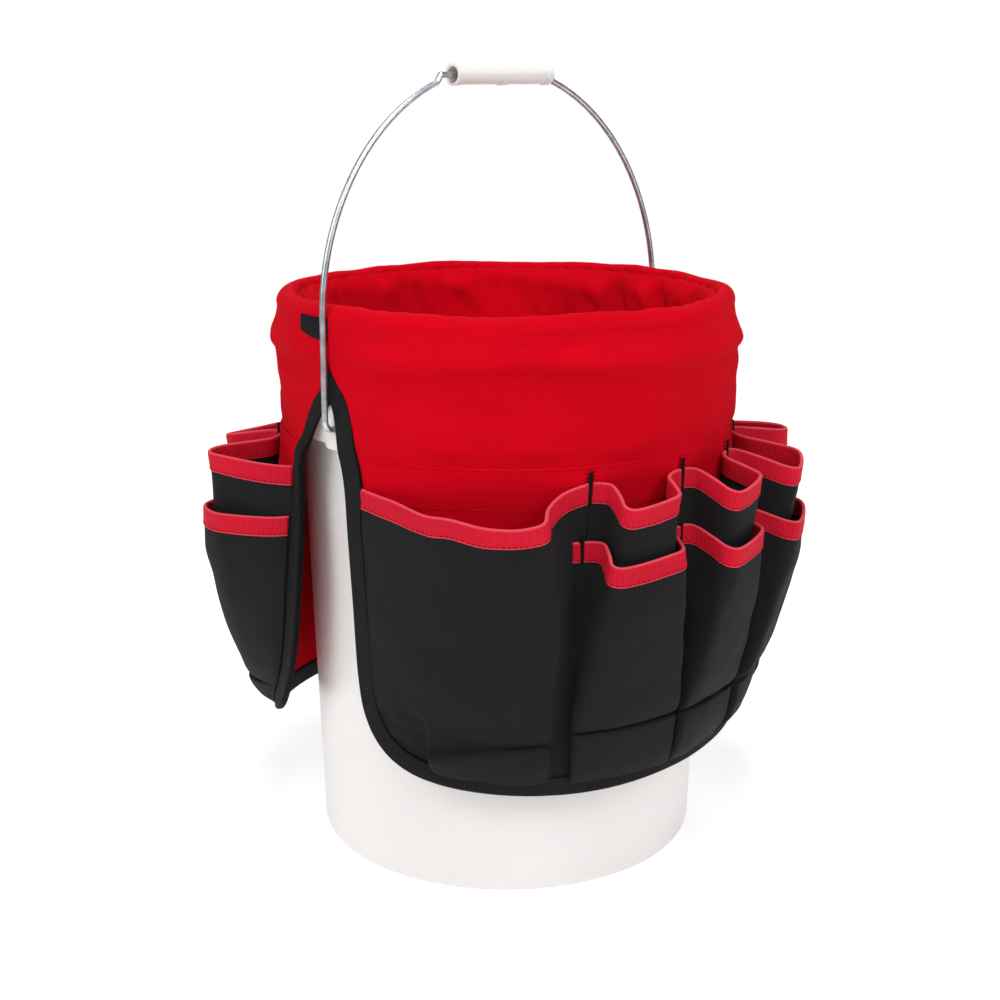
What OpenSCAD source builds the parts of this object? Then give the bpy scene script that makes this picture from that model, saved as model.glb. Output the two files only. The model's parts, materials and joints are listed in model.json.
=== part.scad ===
// Tool organizer for a bucket: a fabric sleeve that folds over the rim of a
// moulded bucket and carries two pocket aprons, with the bucket's wire bail.
// The origin is the centre of the bucket's base, +Z is up, the bail turns about X.

/* [Bucket] */
// Height of the bucket
bucket_h = 372; // [366:1:375]
// Outer radius of the wall at its foot
foot_r = 130.5; // [128:0.5:132]
// Outer radius of the wall at the rim
top_r = 141.5; // [139:0.5:143]
// Thickness of the moulded wall
wall_t = 2.6; // [2:0.1:3]
// Height of the bail's pivot above the floor
pivot_z = 303; // [301:1:306]
// Distance of an ear's outer face from the axis
ear_x = 150; // [148:0.5:151]
// Width of an ear
ear_w = 22; // [18:1:26]

/* [Bail] */
// Diameter of the wire
wire_d = 4; // [3.6:0.1:4.4]
// Radial clearance of the wire in the ears and in the grip
running_gap = 0.08; // [0.03:0.01:0.1]
// Radius of the arch, on the wire's centre line
arch_r = 155.2; // [155:0.1:156]
// Height of the arch's centre above the pivot
arch_rise = 62; // [55:1:65]
// Height of the grip's axis above the pivot
grip_rise = 212.5; // [210:0.5:215]
// Lean of the standing bail from upright, in degrees
bail_lean = 2.5; // [0:0.5:4]
// Length of the wire's straight across the top
straight_l = 99; // [95:1:103]
// Length of the grip
grip_l = 87; // [80:1:89]
// Diameter of the grip
grip_d = 12.6; // [11.5:0.1:14]
// How far the grip has slid along the wire
grip_shift = 4; // [0:0.5:5]

/* [Fabric] */
// Thickness of one layer of fabric
cloth_t = 1.5; // [1.2:0.1:1.8]
// Inner radius of the sleeve and of the aprons
sleeve_r = 150.9; // [150.8:0.1:151]
// Height of the folded edge above the floor
crest_z = 378.5; // [377:0.5:381]
// Height of the seam between the sleeve and the aprons
seam_z = 285; // [280:1:288]
// Depth of the liner below the folded edge
liner_depth = 135; // [80:5:180]
// Height of the aprons' lowest edge above the floor
apron_z = 78; // [70:1:90]
// Width of the edge binding and of the mouth binding
binding_w = 12; // [10:1:14]

/* [Pockets] */
// Height of the tall pockets' mouths at the bar tacks
tall_mouth_z = 275; // [268:1:280]
// Height of the low pockets' mouths at the bar tacks
low_mouth_z = 241; // [235:1:245]
// Height of the pockets' bottom seam
pocket_foot_z = 118; // [110:1:125]
// Slope of the mouths, in degrees
mouth_tilt = 16; // [8:1:20]

/* [Hidden] */
$fn = 96;
slim = 0.01;
slab = 0.5;
gap = 0.2;
skirt_z = 292;
skirt_r = 148.5;
ring_z = 346;
ring_r = 149.8;
rim_r = 150.2;
floor_t = 3;
panel_r = sleeve_r + cloth_t;
face_r = panel_r + 0.05;
inner_r = foot_r - wall_t;
liner_r = 136.6;
leg_x = 157.6;
bend_r = 6;
bore_end_x = ear_x - 10.5;
arch_end = 70;
narrow_side = 18;
flared_side = 42;
far_y = 165;
grip_in = [straight_l / 2, grip_rise];
tab_angle = 8.5;
tab_t = 0.5;
tab_z = 358;
tab_h = 14.5;
tape_t = 1.3;

// Angles of the bar tacks on the front apron: the wide pocket, then four narrow ones
tacks = [-168, -116, -90, -68, -45, -22];
// How far each pocket's mouth reaches from the axis, and its foot
tall_mouth_r = [184, 178, 178, 195, 195];
tall_foot_r = [166, 155, 155, 155, 155];
low_mouth_r = [0, 186, 186, 203, 203];
low_foot_r = [0, 163, 163, 166, 166];
APRONS = ["front", "back"];

// ---- Helpers ----
function polar(r, a) = [r * cos(a), r * sin(a)];
function bezier(p, t) = p[0] * pow(1 - t, 3) + 3 * p[1] * t * pow(1 - t, 2)
    + 3 * p[2] * t * t * (1 - t) + p[3] * pow(t, 3);
function curve(p, n) = [for (i = [0 : n]) bezier(p, i / n)];

// A ring of the given radii and heights about the bucket's axis
module ring(r_in, r_out, z0, z1) {
    rotate_extrude() translate([r_in, z0]) square([r_out - r_in, z1 - z0]);
}

// The edge of the open slit below an ear, seen along X: side is the distance from the
// ear's middle to the apron's upright edge, grow widens the slit all round
function slit_edge(side, grow) = concat(
    curve([[0, 320 + 1.9 * grow], [4 + grow * 0.6, 290 + grow], [side - 2 + grow, 272 + grow],
        [side + grow, 205]], 8),
    curve([[side + 2 + grow, 150], [side + 6 + grow, 104 + grow * 0.8],
        [78 + grow * 0.4, 88 + grow], [far_y, apron_z + grow]], 10)
);

// What is cut away under both ears and below the aprons. Each slit has a narrow and a
// flared side, and the two aprons match by a half turn.
module slits(grow) {
    for (turn = [0, 180]) rotate([0, 0, turn])
        translate([-300, 0, 0]) rotate([90, 0, 90]) linear_extrude(300) polygon(concat(
            [for (p = slit_edge(narrow_side, grow)) [-p[0], p[1]]],
            [[-far_y, -10], [far_y, -10]],
            [for (i = [19 : -1 : 0]) slit_edge(flared_side, grow)[i]]
        ));
}

// ---- Bucket ----
module bucket_profile() {
    polygon([
        [0, 0], [foot_r - 3, 0], [foot_r - 0.8, 0.8], [foot_r, 3], [140, skirt_z + 24],
        [146, skirt_z + 24], [146, skirt_z], [skirt_r, skirt_z], [skirt_r, skirt_z + 27],
        [140.3, skirt_z + 29], [141, ring_z - 2], [ring_r, ring_z - 1.5],
        [ring_r, ring_z + 1.5], [141, ring_z + 2], [141.5, bucket_h - 6],
        [146.5, bucket_h - 6], [146.5, bucket_h - 16], [rim_r, bucket_h - 16],
        [rim_r, bucket_h - 2], [rim_r - 2, bucket_h], [top_r - wall_t, bucket_h],
        [inner_r, floor_t], [0, floor_t]
    ]);
}

module ear_block() {
    translate([135, -ear_w / 2, pivot_z - 14]) cube([ear_x - 135, ear_w, 32]);
}

module bucket_shell() {
    color("whitesmoke") difference() {
        union() {
            rotate_extrude() bucket_profile();
            for (turn = [0, 180]) rotate([0, 0, turn]) difference() {
                ear_block();
                translate([0, 0, 200]) cylinder(h = 200, r = 139.5);
            }
        }
        for (turn = [0, 180]) rotate([0, 0, turn])
            translate([bore_end_x, 0, pivot_z]) rotate([0, 90, 0])
                cylinder(h = 20, d = wire_d + 2 * running_gap);
    }
}

// ---- Bail: drawn upright in the XZ plane from its pivot, then leaned ----
module lean_bail() {
    translate([0, 0, pivot_z]) rotate([-bail_lean, 0, 0]) children();
}

module rod(from, to) {
    length = norm(to - from);
    turn = atan2(to[0] - from[0], to[1] - from[1]);
    translate([from[0], 0, from[1]]) rotate([0, turn, 0]) cylinder(h = length, d = wire_d);
}

// A bend in the wire, a hair fuller than the wire
module knuckle(at) {
    translate([at[0], 0, at[1]]) sphere(d = wire_d + 0.1);
}

module half_bail() {
    arch_tip = polar(arch_r, arch_end) + [0, arch_rise];
    // leg, bend and pivot pin
    rod([leg_x, bend_r], [arch_r, arch_rise]);
    knuckle([arch_r, arch_rise]);
    knuckle([leg_x, bend_r]);
    translate([leg_x - bend_r, 0, bend_r]) rotate([90, 0, 0]) rotate([0, 0, -90])
        rotate_extrude(angle = 90) translate([bend_r, 0]) circle(d = wire_d);
    rod([bore_end_x + 0.6, 0], [leg_x - bend_r, 0]);
    // arch
    translate([0, 0, arch_rise]) rotate([90, 0, 0])
        rotate_extrude(angle = arch_end, $fn = 240) translate([arch_r, 0]) circle(d = wire_d, $fn = 48);
    // kink up into the grip
    knuckle(arch_tip);
    rod(grip_in, arch_tip);
    knuckle(grip_in);
}

module bail_wire() {
    color("silver") lean_bail() {
        for (turn = [0, 180]) rotate([0, 0, turn]) half_bail();
        rod([-grip_in[0], grip_rise], grip_in);
    }
}

module bail_grip() {
    collar_l = 5;
    collar_d = grip_d + 1.2;
    recess_l = 14;
    recess_d = grip_d - 2.2;
    start = grip_shift - grip_l / 2;
    color("whitesmoke") lean_bail() translate([start, 0, grip_rise]) rotate([0, 90, 0])
        difference() {
            union() {
                cylinder(h = grip_l, d = grip_d);
                for (x = [0, (grip_l - collar_l) / 2, grip_l - collar_l])
                    translate([0, 0, x]) cylinder(h = collar_l, d = collar_d);
            }
            translate([0, 0, -1]) cylinder(h = grip_l + 2, d = wire_d + 2 * running_gap);
            for (x = [-1, grip_l - recess_l])
                translate([0, 0, x]) cylinder(h = recess_l + 1, d = recess_d);
        }
}

// ---- Sleeve and liner ----
module rim_sleeve() {
    bulge = 1.2;
    color("crimson") difference() {
        rotate_extrude($fn = 144) polygon([
            [sleeve_r, seam_z], [panel_r, seam_z], [panel_r + bulge, seam_z + 25],
            [panel_r + bulge, ring_z - 10], [panel_r + bulge, ring_z + 3],
            [panel_r, ring_z + 11], [panel_r, crest_z - 3], [panel_r - 2.5, crest_z],
            [140, crest_z], [140, crest_z - cloth_t], [sleeve_r - 2, crest_z - cloth_t],
            [sleeve_r, crest_z - 4]
        ]);
        slits(binding_w);
    }
}

module rim_liner() {
    color("firebrick") rotate_extrude($fn = 144) polygon([
        [139.9, crest_z], [139.9, crest_z - cloth_t], [liner_r, crest_z - 10],
        [liner_r, pivot_z], [133, crest_z - liner_depth], [133 - cloth_t, crest_z - liner_depth],
        [liner_r - cloth_t, pivot_z], [liner_r - cloth_t, crest_z - 8]
    ]);
}

module strap_tab(turn) {
    color("black") rotate([0, 0, turn - tab_angle / 2]) rotate_extrude(angle = tab_angle)
        translate([panel_r + 0.02, tab_z]) square([tab_t, tab_h]);
}

// ---- Aprons ----
module apron_half() {
    translate([-200, -200, 0]) cube([400, 200, 400]);
}

module panel() {
    color("crimson") difference() {
        intersection() {
            ring(sleeve_r, panel_r, apron_z, seam_z - slim);
            apron_half();
        }
        slits(binding_w);
    }
}

// Black facing below the pockets
module base_panel() {
    color("dimgray") difference() {
        intersection() {
            ring(face_r, face_r + 1.2, apron_z, pocket_foot_z - gap);
            apron_half();
        }
        slits(binding_w);
    }
}

// Binding folded round the apron's edge and up to the slits' peaks
module edge_binding() {
    color("black") difference() {
        intersection() {
            ring(sleeve_r - 0.4, panel_r + tape_t, apron_z, 343);
            apron_half();
        }
        slits(0);
        difference() {
            translate([-200, -200, 0]) cube([400, 400, 400]);
            slits(binding_w - gap);
        }
    }
}

// ---- Pockets ----
// Plan outline of one pocket between two tacks; grow pushes it outwards
function bulge(t) = pow(sin(180 * t), 0.42);
function pocket_outline(a0, a1, reach, grow) = concat(
    [polar(face_r - 12, a0 + 2), polar(face_r - 12, a1 - 2)],
    [for (i = [8 : -1 : 0])
        let (t = i / 8)
        polar(face_r + (reach - face_r) * bulge(t) + grow,
            a0 + 0.6 - grow / 3 + (a1 - a0 - 1.2 + grow / 1.5) * t)]
);

module pocket_form(i, mouth_r, foot_r, grow, top_z, foot_z) {
    hull() {
        translate([0, 0, top_z]) linear_extrude(slab)
            polygon(pocket_outline(tacks[i], tacks[i + 1], mouth_r, grow));
        translate([0, 0, foot_z]) linear_extrude(slab)
            polygon(pocket_outline(tacks[i], tacks[i + 1], foot_r, grow));
    }
}

// Everything above a mouth: the plane drops away from the bucket
module above_mouth(i, z) {
    middle = (tacks[i] + tacks[i + 1]) / 2;
    rotate([0, 0, middle]) translate([face_r, 0, z]) rotate([0, mouth_tilt, 0])
        translate([-60, -120, 0]) cube([200, 240, 80]);
}

// The space inside the aprons' outer face, with flat sides like the pockets
module apron_core(grow) {
    translate([0, 0, 50]) linear_extrude(300)
        polygon([for (i = [0 : 143]) polar(face_r + 0.05 + grow, 2.5 * i + 1)]);
}

// What the edge binding takes up, with room to spare; the pockets stop short of it
module binding_space() {
    intersection() {
        apron_core(tape_t + gap);
        slits(binding_w + gap);
    }
}

module tall_wall(i) {
    difference() {
        pocket_form(i, tall_mouth_r[i], tall_foot_r[i], 0, tall_mouth_z + 4, pocket_foot_z);
        pocket_form(i, tall_mouth_r[i], tall_foot_r[i], -cloth_t, tall_mouth_z + 5,
            pocket_foot_z + 2);
        apron_core(0);
        binding_space();
        above_mouth(i, tall_mouth_z);
    }
}

module low_wall(i) {
    difference() {
        pocket_form(i, low_mouth_r[i], low_foot_r[i], 0, low_mouth_z + 4, pocket_foot_z);
        pocket_form(i, low_mouth_r[i], low_foot_r[i], -cloth_t, low_mouth_z + 5,
            pocket_foot_z + 2);
        pocket_form(i, tall_mouth_r[i], tall_foot_r[i], gap, tall_mouth_z + 4,
            pocket_foot_z - 1);
        apron_core(0.5);
        binding_space();
        above_mouth(i, low_mouth_z);
    }
}

module tall_pocket(i) {
    color("dimgray") difference() {
        tall_wall(i);
        above_mouth(i, tall_mouth_z - binding_w);
    }
}

module low_pocket(i) {
    color("dimgray") difference() {
        low_wall(i);
        above_mouth(i, low_mouth_z - binding_w);
    }
}

module tall_binding() {
    color("crimson") for (i = [0 : 4]) intersection() {
        tall_wall(i);
        above_mouth(i, tall_mouth_z - binding_w + slim);
    }
}

module low_binding() {
    color("crimson") for (i = [1 : 4]) intersection() {
        low_wall(i);
        above_mouth(i, low_mouth_z - binding_w + slim);
    }
}

module bar_tacks() {
    color("black") for (i = [1 : 4]) rotate([0, 0, tacks[i]])
        for (z = [tall_mouth_z - 21, low_mouth_z - 19]) difference() {
            translate([150, -0.9, z]) cube([4, 1.8, 20]);
            translate([0, 0, z - 1]) cylinder(h = 22, r = face_r, $fn = 144);
        }
}

// One apron's piece, by the end of its name
module apron_part(name) {
    if (name == "panel") panel();
    if (name == "base_panel") base_panel();
    if (name == "edge_binding") edge_binding();
    if (name == "bar_tacks") bar_tacks();
    if (name == "tall_binding") tall_binding();
    if (name == "low_binding") low_binding();
    if (name == "wide_pocket") tall_pocket(0);
    for (i = [1 : 4]) {
        if (name == str("tall_pocket_", i)) tall_pocket(i);
        if (name == str("low_pocket_", i)) low_pocket(i);
    }
}

PIECES = concat(
    ["panel", "base_panel", "edge_binding", "bar_tacks", "tall_binding", "low_binding",
        "wide_pocket"],
    [for (i = [1 : 4]) str("tall_pocket_", i)],
    [for (i = [1 : 4]) str("low_pocket_", i)]
);

bucket_shell();
bail_wire();
bail_grip();
rim_sleeve();
rim_liner();
strap_tab(180);  // near_strap_tab
strap_tab(0);  // far_strap_tab
for (side = [0, 1]) rotate([0, 0, 180 * side]) for (piece = PIECES)
    apron_part(piece);
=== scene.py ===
"""Looks of the tool bucket organizer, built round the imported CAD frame.

Lengths are in millimetres here and angles in degrees about the bucket's axis, where -90 faces
the front. They become metres only when a mesh is made. Every grid of points has its rows
running down and its columns anticlockwise, so its normals point away from the bucket.
"""
import json
import math

import bmesh
import bpy
import numpy as np
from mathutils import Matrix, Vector


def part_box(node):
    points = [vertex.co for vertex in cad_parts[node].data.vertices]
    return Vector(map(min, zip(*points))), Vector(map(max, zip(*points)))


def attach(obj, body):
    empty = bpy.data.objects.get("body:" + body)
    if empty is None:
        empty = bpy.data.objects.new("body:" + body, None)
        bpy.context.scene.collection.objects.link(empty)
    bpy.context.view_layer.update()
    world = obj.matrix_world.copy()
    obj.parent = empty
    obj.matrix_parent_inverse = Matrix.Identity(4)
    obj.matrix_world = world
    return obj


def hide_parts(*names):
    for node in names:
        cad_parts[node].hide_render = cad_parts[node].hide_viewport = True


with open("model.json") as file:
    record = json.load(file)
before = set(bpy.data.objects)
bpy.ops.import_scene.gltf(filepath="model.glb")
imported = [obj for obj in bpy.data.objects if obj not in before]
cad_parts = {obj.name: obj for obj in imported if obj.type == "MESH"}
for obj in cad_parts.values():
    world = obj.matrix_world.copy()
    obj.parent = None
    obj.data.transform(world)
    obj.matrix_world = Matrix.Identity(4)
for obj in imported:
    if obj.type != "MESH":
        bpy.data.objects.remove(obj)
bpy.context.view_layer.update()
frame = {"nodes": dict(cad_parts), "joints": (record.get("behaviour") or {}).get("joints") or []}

MM = 0.001
SIDES = {"front": 0, "back": 180}


# ---- Sizes from the frame ----
def corner(node, high, axis):
    """One coordinate of a CAD node's box, in millimetres."""
    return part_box(node)[high][axis] / MM


RIM_Z = corner("bucket_shell", 1, 2)
CREST_Z = corner("rim_sleeve", 1, 2)
LINER_Z = corner("rim_liner", 0, 2)
SEAM_Z = corner("front_panel", 1, 2)
PIVOT_Z = frame["joints"][0]["pos_m"][2] / MM

# ---- Sizes of the soft goods ----
CLOTH_T = 1.5
THIN_CLOTH_T = 1.0
TAPE_W = 12.0
TAPE_T = 2.7
PANEL_R = 151.8
FLARE = 11.0
# How far the edge binding's ends reach past the outline, to the mitre above a slit
TIP_L = 26
CREST_IN_R = 139.9
CREST_GATHER = 2.6
# Where the sleeve starts to turn over the rim
TURN_Z = CREST_Z - 8.3
# How far the loose end of an apron curls outwards beside its slit
CURL = 6.5
LINER_TOP_Z = CREST_Z - 3.5
LINER_ROW_GAP = 4.0
LINER_GATHER = 3.1
LINER_FOLD = 14
LINER_BEND = 0.05
LINER_FRAMES = 36
# Inside of the bucket's wall at its rim and at its foot
WALL_TOP_R = 138.9
WALL_FOOT_R = 127.9
# Points closer than this are joined where two grids of a sheet meet
WELD = 0.05

# ---- Threads ----
THREAD_PITCH = 0.75
RIB_PITCH = 1.15
THREADS_ACROSS = 15
# The stitches along a tape, below its folded edge
STITCH_DEPTH = 10.6
STITCH_PITCH = 3.6
STITCH_L = 2.5
STITCH_R = 0.33
# A stitch's radius along its length, as (share of the length, share of the radius)
STITCH_SHAPE = [(0.0, 0.15), (0.12, 0.75), (0.5, 1.0), (0.88, 0.75), (1.0, 0.15)]
BAR_R = 0.78
BAR_SHAPE = [0.35, 0.9, 1, 0.9, 0.35]
BAR_PITCH = 1.2

# ---- Layout of an apron ----
# Angles of the bar tacks at the mouths of the tall pockets. Every angle is the front apron's:
# the back apron is the same piece, half a turn round.
TACKS = [-170.5, -116, -90, -67, -43.5, -17.5]
TACK_SLOPE = 0.021
FIRST_LOW_EDGE = -120.2
FIRST_LOW_TACK = -118.0
# Heights of the pockets' mouths, the facing's upper edge and the stitches across the panel
TALL_Z = 278.0
LOW_Z = 242.0
FACING_Z = 232.0
PANEL_STITCH_Z = 263.0

# Edge of an apron as (angle, height): down the narrow side of the slit, round the bottom and
# up the loose end to the far slit
OUTLINE = [
    (-180, 321), (-178.9, 313), (-178.2, 303), (-177.6, 292), (-176.3, 280), (-175.5, 267),
    (-174.9, 240), (-173.8, 196),
    (-172.6, 145), (-171.1, 124), (-168.2, 108.5), (-164.2, 97.5), (-158.7, 89.5),
    (-151, 84.3), (-138, 80.5), (-115, 78.5), (-90, 80), (-60, 81.5), (-44, 85), (-32, 91),
    (-23.6, 102), (-17.2, 126), (-12.8, 158), (-10.8, 190), (-10.4, 230), (-10.8, 250),
    (-10.2, 266), (-8.6, 280), (-7.6, 290), (-6.8, 299), (-5.2, 307), (-2.8, 315), (0, 321),
]
# Where the outline turns from its sides into its bottom
CORNERS = 11, 20
SLIT_Z = 321.0


# ---- Curves ----
def smooth(x):
    """Smooth step from 0 to 1."""
    x = np.clip(x, 0, 1)
    return x * x * (3 - 2 * x)


def hump(x, middle, width):
    """Bell curve."""
    return np.exp(-(((x - middle) / width) ** 2))


def polar(angle, radius, z):
    """Points from angles about the bucket's axis, radii and heights."""
    a = np.radians(angle)
    return np.stack(np.broadcast_arrays(radius * np.cos(a), radius * np.sin(a), z), axis=-1)


def hermite(start, stop, start_slope, stop_slope, t):
    """Cubic from start to stop with the given slopes at its ends, for t from 0 to 1."""
    return (start * (1 + 2 * t) * (1 - t) ** 2 + start_slope * t * (1 - t) ** 2
            + stop * t * t * (3 - 2 * t) + stop_slope * t * t * (t - 1))


def monotone(knots, values, at):
    """Monotone cubic through values at the knots, read at the places in at."""
    knots, values, at = (np.asarray(x, float) for x in (knots, values, at))
    wide = [-1] + [1] * (values.ndim - 1)
    step = np.diff(knots).reshape(wide)
    slope = np.diff(values, axis=0) / step
    before, after = slope[:-1], slope[1:]
    w1, w2 = 2 * step[1:] + step[:-1], step[1:] + 2 * step[:-1]
    product = before * after
    bottom = np.where(product > 0, w1 * after + w2 * before, 1)
    inner = np.where(product > 0, product * (w1 + w2) / bottom, 0)
    tangent = np.concatenate([slope[:1], inner, slope[-1:]])
    i = np.clip(np.searchsorted(knots, at, side="right") - 1, 0, len(knots) - 2)
    t = ((at - knots[i]) / (knots[i + 1] - knots[i])).reshape(wide)
    return hermite(values[i], values[i + 1], tangent[i] * step[i], tangent[i + 1] * step[i], t)


def through(points, counts):
    """Centripetal Catmull-Rom curve through the points along the last axis but one, with
    counts[i] samples in stretch i."""
    p = np.asarray(points, float)
    ends = [2 * p[..., :1, :] - p[..., 1:2, :], 2 * p[..., -1:, :] - p[..., -2:-1, :]]
    p = np.concatenate([ends[0], p, ends[1]], axis=-2)
    gaps = np.linalg.norm(np.diff(p, axis=-2), axis=-1, keepdims=True) ** 0.5 + 1e-6
    out = []
    for i, count in enumerate(counts):
        p0, p1, p2, p3 = (p[..., i + k : i + k + 1, :] for k in range(4))
        d0, d1, d2 = (gaps[..., i + k : i + k + 1, :] for k in range(3))
        m1 = d1 * ((p1 - p0) / d0 - (p2 - p0) / (d0 + d1) + (p2 - p1) / d1)
        m2 = d1 * ((p2 - p1) / d1 - (p3 - p1) / (d1 + d2) + (p3 - p2) / d2)
        t = (np.arange(count + (i == len(counts) - 1)) / count)[:, None]
        out.append(hermite(p1, p2, m1, m2, t))
    return np.concatenate(out, axis=-2)


def sample_counts(points, gap):
    """How many samples each stretch between points needs to be about gap apart."""
    lengths = np.linalg.norm(np.diff(np.asarray(points, float), axis=0), axis=-1)
    return [max(2, int(round(x / gap))) for x in lengths]


def waves(points, seed, size, depth, count=9, stretch=(1, 1, 1)):
    """Soft random unevenness: a sum of waves about size across, up to depth high."""
    random = np.random.default_rng(seed)
    p = np.asarray(points) * np.asarray(stretch)
    total = np.zeros(p.shape[:-1])
    for _ in range(count):
        way = random.normal(size=3)
        way /= np.linalg.norm(way)
        length = size * random.uniform(0.6, 1.7)
        total += np.sin(2 * np.pi * (p @ way) / length + random.uniform(0, 2 * np.pi))
    return depth * total / count ** 0.5


# ---- Meshes ----
def normals_of(grid):
    """Outward normals of a grid of points."""
    n = np.cross(np.gradient(grid, axis=0), np.gradient(grid, axis=1))
    return n / (np.linalg.norm(n, axis=-1, keepdims=True) + 1e-12)


def lengths_along(grid, axis):
    """Distance along one axis of a grid, from its start."""
    steps = np.linalg.norm(np.diff(grid, axis=axis), axis=-1)
    start = np.zeros_like(np.take(steps, [0], axis=axis))
    return np.cumsum(np.concatenate([start, steps], axis=axis), axis=axis)


def make_object(name, points, faces, material, uvs=None):
    """A mesh object from points in millimetres; cloth gives one uv for each face corner."""
    mesh = bpy.data.meshes.new(name)
    mesh.from_pydata((np.asarray(points) * MM).tolist(), [], faces)
    layer = mesh.uv_layers.new(name="cloth")
    uvs = np.zeros((len(mesh.loops), 2)) if uvs is None else uvs
    layer.data.foreach_set("uv", np.asarray(uvs, np.float32).ravel())
    mesh.shade_smooth()
    mesh.materials.append(material)
    piece = bpy.data.objects.new(name, mesh)
    bpy.context.scene.collection.objects.link(piece)
    return piece


def grid_quads(k):
    """Faces over a grid of point numbers."""
    return np.stack([k[:-1, :-1], k[1:, :-1], k[1:, 1:], k[:-1, 1:]], axis=-1).reshape(-1, 4)


def slab(name, grid, thickness, material, across=None):
    """A closed sheet from a grid of points, thickened both ways; thickness may differ by row
    or by place. across gives each row's place over the width, for tapes whose pattern runs
    across."""
    rows, cols = grid.shape[:2]
    depth = np.asarray(thickness, float)
    if depth.ndim == 1:
        depth = depth[:, None]
    half = np.broadcast_to(depth, (rows, cols))[..., None] / 2
    n = normals_of(grid)
    points = np.concatenate([(grid + n * half).reshape(-1, 3), (grid - n * half).reshape(-1, 3)])
    u = lengths_along(grid, 1) * MM
    if across is None:
        v = -lengths_along(grid, 0) * MM
    else:
        v = np.broadcast_to(np.asarray(across, float)[:, None], (rows, cols))
        u = np.broadcast_to(u.mean(axis=0), (rows, cols))
    uv = np.stack([u, v], axis=-1).reshape(-1, 2)
    uv = np.concatenate([uv, uv])
    k = np.arange(rows * cols).reshape(rows, cols)
    back = k + rows * cols
    rim = [(k[0, :-1], k[0, 1:], back[0, 1:], back[0, :-1]),
           (k[-1, 1:], k[-1, :-1], back[-1, :-1], back[-1, 1:]),
           (k[1:, 0], k[:-1, 0], back[:-1, 0], back[1:, 0]),
           (k[:-1, -1], k[1:, -1], back[1:, -1], back[:-1, -1])]
    faces = np.concatenate([grid_quads(k), grid_quads(back)[:, [0, 3, 2, 1]]]
                           + [np.stack(side, axis=-1) for side in rim])
    return make_object(name, points, faces.tolist(), material, uv[faces.ravel()])


def joined_sheet(name, grids, material, thickness=CLOTH_T):
    """A sheet of cloth from grids that meet edge to edge, thickened both ways."""
    points, faces, uvs = [], [], []
    for grid in grids:
        rows, cols = grid.shape[:2]
        first = sum(len(p) for p in points)
        points.append(grid.reshape(-1, 3))
        uv = np.stack([lengths_along(grid, 1) * MM, -lengths_along(grid, 0) * MM], axis=-1)
        quads = grid_quads(np.arange(rows * cols).reshape(rows, cols))
        faces.extend((quads + first).tolist())
        uvs.append(uv.reshape(-1, 2)[quads.ravel()])
    piece = make_object(name, np.concatenate(points), faces, material, np.concatenate(uvs))
    bm = bmesh.new()
    bm.from_mesh(piece.data)
    bmesh.ops.remove_doubles(bm, verts=bm.verts, dist=WELD * MM)
    bm.to_mesh(piece.data)
    bm.free()
    thicken = piece.modifiers.new("thickness", "SOLIDIFY")
    thicken.thickness = thickness * MM
    thicken.offset = 0
    return piece


def at_depths(grid, depths):
    """The strip of a grid that lies at the given depths below its first row."""
    down = lengths_along(grid, 0)
    strip = np.empty((len(depths), grid.shape[1], 3))
    for c in range(grid.shape[1]):
        for axis in range(3):
            strip[:, c, axis] = np.interp(depths, down[:, c], grid[:, c, axis])
    lift = grid[0] - grid[1]
    lift /= np.linalg.norm(lift, axis=-1, keepdims=True) + 1e-12
    for row, depth in enumerate(depths):
        if depth < 0:
            strip[row] = grid[0] - lift * depth
    return strip


TAPE_DEPTHS = np.array([-0.9, -0.6, 0.1, 1.2, 3.5, 6, 8.5, 10.6, 11.6, 12]) * TAPE_W / 12
TAPE_SHAPE = np.array([0.25, 0.62, 0.9, 1, 1, 1, 1, 1, 0.97, 0.86])


def tape(name, strip, material, thickness=TAPE_T):
    """A folded binding tape along a strip whose rows are at TAPE_DEPTHS."""
    depth = TAPE_SHAPE[:, None] * thickness
    return slab(name, strip, depth, material, across=TAPE_DEPTHS / TAPE_W)


def merged(parts):
    """Points and faces of several meshes as one."""
    spots, faces = [], []
    for points, more in parts:
        faces.extend([k + len(spots) for k in face] for face in more)
        spots.extend(points)
    return spots, faces


def tube_faces(rings, sides):
    """Faces of a closed tube whose points come ring by ring."""
    faces = []
    for low in range(0, (rings - 1) * sides, sides):
        for k in range(sides):
            k2 = (k + 1) % sides
            faces.append([low + k, low + k2, low + sides + k2, low + sides + k])
    last = (rings - 1) * sides
    return faces + [list(range(sides))[::-1], list(range(last, last + sides))]


def bead(centres, radii, side, up, sides):
    """Points and faces of a short closed tube with its own radius at each centre."""
    turns = np.linspace(0, 2 * np.pi, sides, endpoint=False)
    points = [centre + radius * (np.cos(t) * side + np.sin(t) * up)
              for centre, radius in zip(centres, radii) for t in turns]
    return points, tube_faces(len(radii), sides)


def stitch_row(points, outward):
    """The stitches along a line on a surface, each an arched bead."""
    reach = lengths_along(points[None], 1)[0]

    def place(values, s):
        return np.array([np.interp(s, reach, values[:, i]) for i in range(3)])

    for s in np.arange(STITCH_PITCH / 2, reach[-1] - STITCH_L, STITCH_PITCH):
        a, b = place(points, s), place(points, s + STITCH_L)
        up = place(outward, s + STITCH_L / 2)
        way = (b - a) / np.linalg.norm(b - a)
        centres = [a + (b - a) * share + up * STITCH_R * (4 * share * (1 - share) - 0.35)
                   for share, _ in STITCH_SHAPE]
        radii = [STITCH_R * size for _, size in STITCH_SHAPE]
        yield bead(centres, radii, np.cross(way, up), up, 6)


def stitches(name, lines, material):
    """One piece with a row of stitches along each line, given as (points, outward normals)."""
    rows = [stitch for points, outward in lines for stitch in stitch_row(points, outward)]
    return make_object(name, *merged(rows), material)


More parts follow.
